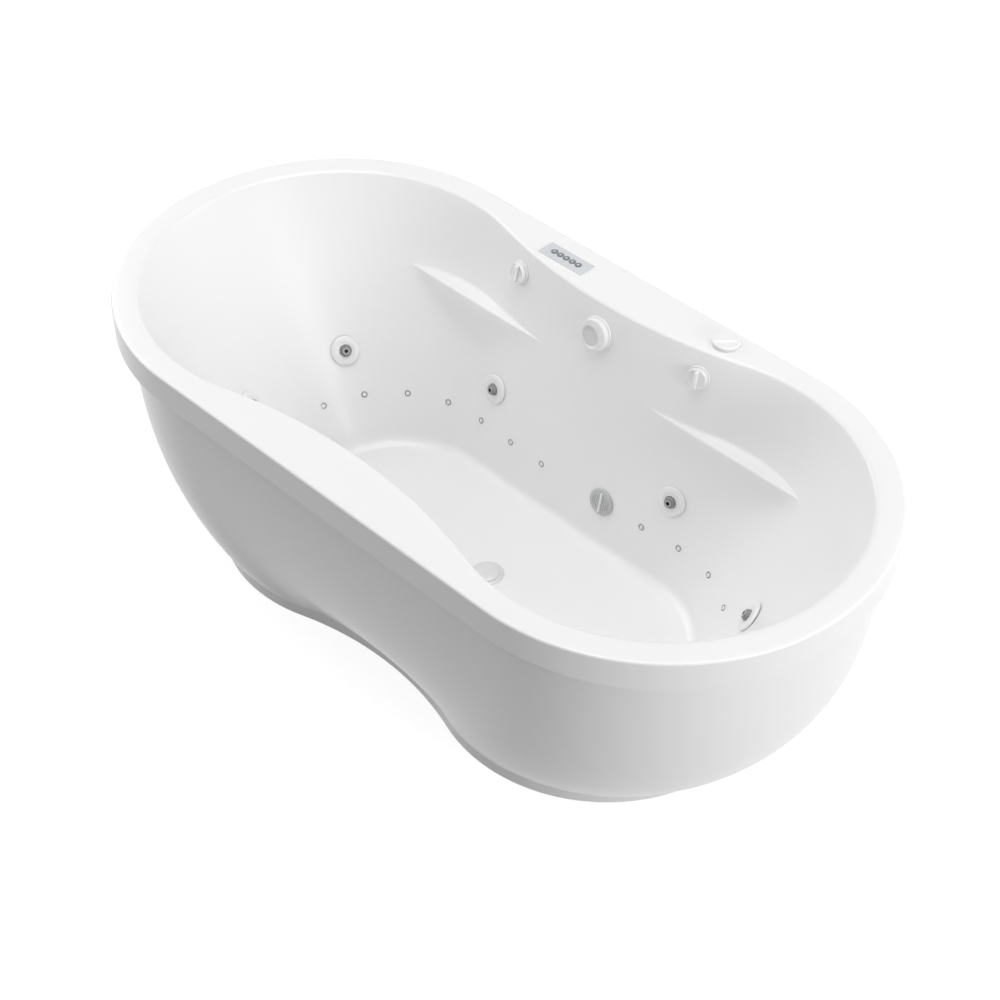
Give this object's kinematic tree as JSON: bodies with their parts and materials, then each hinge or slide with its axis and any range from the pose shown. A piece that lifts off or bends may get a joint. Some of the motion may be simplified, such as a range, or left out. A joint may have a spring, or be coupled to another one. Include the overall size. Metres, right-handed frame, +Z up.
{
  "type": "jetted bathtub",
  "caption": "Freestanding oval bathtub with hourglass basin, armrests, water jets, low air injectors, deck keypad, air controls, pop-up waste and flared one-piece skirt.",
  "frame": {"origin": "on the floor, under the middle of the bath", "axes": "+X along the bath, +Y towards the long side with the keypad, knobs and overflow, +Z up"},
  "size_m": [1.803, 0.908, 0.5933],
  "materials": {
    "acrylic_white": "polished sanitary acrylic",
    "plinth_white": "polished acrylic trim ring",
    "board": "sealed chipboard",
    "timber": "planed softwood",
    "zinc_steel": "zinc plated",
    "jet_white": "moulded gloss",
    "locknut_grey": "moulded",
    "nozzle_grey": "moulded gloss",
    "pipe_white": "extruded pipe",
    "hose_grey": "flexible hose",
    "injector_chrome": "bright ring",
    "blower_black": "moulded",
    "rotor_grey": "moulded",
    "bracket_steel": "powder coat",
    "motor_paint": "enamel",
    "volute_black": "moulded",
    "suction_grey": "satin moulded cover",
    "drain_chrome": "polished",
    "overflow_white": "moulded gloss",
    "valve_white": "moulded gloss",
    "knob_white": "moulded gloss",
    "keypad_silver": "satin silver membrane",
    "button_dark": "soft touch",
    "box_grey": "moulded",
    "lead_black": "sheathed lead"
  },
  "bodies": {
    "tub": {"tub_shell": "acrylic_white", "skirt": "acrylic_white", "plinth": "plinth_white", "base_board": "board", "base_rails": "timber", "cross_members": "timber", "jet_fittings": "jet_white", "jet_locknuts": "locknut_grey", "water_manifold": "pipe_white", "air_injectors": "injector_chrome", "air_manifold": "pipe_white", "air_hose": "hose_grey", "blower_housing": "blower_black", "blower_bracket": "bracket_steel", "suction_cover": "suction_grey", "suction_pipe": "pipe_white", "pump_motor": "motor_paint", "pump_volute": "volute_black", "pump_cradle": "bracket_steel", "drain_flange": "drain_chrome", "waste_overflow_pipe": "pipe_white", "overflow_plate": "overflow_white", "air_control_valves": "valve_white", "deck_valve": "valve_white", "keypad_bezel": "keypad_silver", "control_box": "box_grey", "control_lead": "lead_black", "supply_gland": "box_grey"},
    "levelling_foot_1": {"levelling_foot_1": "zinc_steel"},
    "levelling_foot_2": {"levelling_foot_2": "zinc_steel"},
    "levelling_foot_3": {"levelling_foot_3": "zinc_steel"},
    "levelling_foot_4": {"levelling_foot_4": "zinc_steel"},
    "jet_nozzle_1": {"jet_nozzle_1": "nozzle_grey"},
    "jet_nozzle_2": {"jet_nozzle_2": "nozzle_grey"},
    "jet_nozzle_3": {"jet_nozzle_3": "nozzle_grey"},
    "jet_nozzle_4": {"jet_nozzle_4": "nozzle_grey"},
    "jet_nozzle_5": {"jet_nozzle_5": "nozzle_grey"},
    "jet_nozzle_6": {"jet_nozzle_6": "nozzle_grey"},
    "jet_nozzle_7": {"jet_nozzle_7": "nozzle_grey"},
    "jet_nozzle_8": {"jet_nozzle_8": "nozzle_grey"},
    "air_knob_left": {"air_knob_left": "knob_white"},
    "air_knob_right": {"air_knob_right": "knob_white"},
    "deck_knob": {"deck_knob": "knob_white"},
    "overflow_knob": {"overflow_knob": "overflow_white"},
    "drain_stopper": {"drain_stopper": "drain_chrome"},
    "button_1": {"button_1": "button_dark"},
    "button_2": {"button_2": "button_dark"},
    "button_3": {"button_3": "button_dark"},
    "button_4": {"button_4": "button_dark"},
    "button_5": {"button_5": "button_dark"},
    "pump_impeller": {"pump_impeller": "rotor_grey"},
    "blower_rotor": {"blower_rotor": "rotor_grey"}
  },
  "joints": [
    {"name": "foot_1_screw", "type": "slide", "parent": "tub", "child": "levelling_foot_1", "axis": [0, 0, 1], "range_m": [-0.02, 0.005]},
    {"name": "foot_2_screw", "type": "slide", "parent": "tub", "child": "levelling_foot_2", "axis": [0, 0, 1], "range_m": [-0.02, 0.005]},
    {"name": "foot_3_screw", "type": "slide", "parent": "tub", "child": "levelling_foot_3", "axis": [0, 0, 1], "range_m": [-0.02, 0.005]},
    {"name": "foot_4_screw", "type": "slide", "parent": "tub", "child": "levelling_foot_4", "axis": [0, 0, 1], "range_m": [-0.02, 0.005]},
    {"name": "jet_nozzle_1_tilt", "type": "hinge", "parent": "tub", "child": "jet_nozzle_1", "pos_m": [0.58557, 0.13487, 0.24599], "axis": [0.4779, -0.8784, 0], "range_deg": [-12, 12]},
    {"name": "jet_nozzle_2_tilt", "type": "hinge", "parent": "tub", "child": "jet_nozzle_2", "pos_m": [0.58557, -0.13487, 0.24599], "axis": [-0.4779, -0.8784, 0], "range_deg": [-12, 12]},
    {"name": "jet_nozzle_3_tilt", "type": "hinge", "parent": "tub", "child": "jet_nozzle_3", "pos_m": [-0.58557, 0.13487, 0.24599], "axis": [0.4779, 0.8784, 0], "range_deg": [-12, 12]},
    {"name": "jet_nozzle_4_tilt", "type": "hinge", "parent": "tub", "child": "jet_nozzle_4", "pos_m": [-0.58557, -0.13487, 0.24599], "axis": [-0.4779, 0.8784, 0], "range_deg": [-12, 12]},
    {"name": "jet_nozzle_5_tilt", "type": "hinge", "parent": "tub", "child": "jet_nozzle_5", "pos_m": [0.2587, 0.27501, 0.24354], "axis": [0.993, 0.1185, 0], "range_deg": [-12, 12]},
    {"name": "jet_nozzle_6_tilt", "type": "hinge", "parent": "tub", "child": "jet_nozzle_6", "pos_m": [0.2587, -0.27501, 0.24354], "axis": [-0.993, 0.1185, 0], "range_deg": [-12, 12]},
    {"name": "jet_nozzle_7_tilt", "type": "hinge", "parent": "tub", "child": "jet_nozzle_7", "pos_m": [-0.2587, 0.27501, 0.24354], "axis": [0.993, -0.1185, 0], "range_deg": [-12, 12]},
    {"name": "jet_nozzle_8_tilt", "type": "hinge", "parent": "tub", "child": "jet_nozzle_8", "pos_m": [-0.2587, -0.27501, 0.24354], "axis": [-0.993, -0.1185, 0], "range_deg": [-12, 12]},
    {"name": "air_knob_left_turn", "type": "hinge", "parent": "tub", "child": "air_knob_left", "pos_m": [-0.249, 0.34812, 0.525], "axis": [-0.1941, -0.9564, 0.2183], "range_deg": [0, 180]},
    {"name": "air_knob_right_turn", "type": "hinge", "parent": "tub", "child": "air_knob_right", "pos_m": [0.249, 0.34812, 0.525], "axis": [0.1941, -0.9564, 0.2183], "range_deg": [0, 180]},
    {"name": "deck_knob_turn", "type": "hinge", "parent": "tub", "child": "deck_knob", "pos_m": [0.262, 0.41, 0.584], "axis": [0, 0, 1], "range_deg": [0, 180]},
    {"name": "overflow_knob_turn", "type": "hinge", "parent": "tub", "child": "overflow_knob", "pos_m": [0, 0.32107, 0.515], "axis": [0, -0.9799, 0.1993], "range_deg": [0, 90]},
    {"name": "stopper_lift", "type": "slide", "parent": "tub", "child": "drain_stopper", "axis": [0, 0, 1], "range_m": [0, 0.009]},
    {"name": "button_1_press", "type": "slide", "parent": "tub", "child": "button_1", "axis": [0, 0, -1], "range_m": [0, 0.0008], "stiffness_N_per_m": 3000, "springref_m": -0.0003},
    {"name": "button_2_press", "type": "slide", "parent": "tub", "child": "button_2", "axis": [0, 0, -1], "range_m": [0, 0.0008], "stiffness_N_per_m": 3000, "springref_m": -0.0003},
    {"name": "button_3_press", "type": "slide", "parent": "tub", "child": "button_3", "axis": [0, 0, -1], "range_m": [0, 0.0008], "stiffness_N_per_m": 3000, "springref_m": -0.0003},
    {"name": "button_4_press", "type": "slide", "parent": "tub", "child": "button_4", "axis": [0, 0, -1], "range_m": [0, 0.0008], "stiffness_N_per_m": 3000, "springref_m": -0.0003},
    {"name": "button_5_press", "type": "slide", "parent": "tub", "child": "button_5", "axis": [0, 0, -1], "range_m": [0, 0.0008], "stiffness_N_per_m": 3000, "springref_m": -0.0003},
    {"name": "pump_spin", "type": "hinge", "parent": "tub", "child": "pump_impeller", "pos_m": [0.66511, 0.074, 0.126], "axis": [0, 1, 0], "continuous": true},
    {"name": "blower_spin", "type": "hinge", "parent": "tub", "child": "blower_rotor", "pos_m": [-0.67174, 0, 0.112], "axis": [0, 0, 1], "continuous": true}
  ],
  "couplings": [
    {"joint": "stopper_lift", "follows": "overflow_knob_turn", "m_per_rad": 0.0057295}
  ]
}
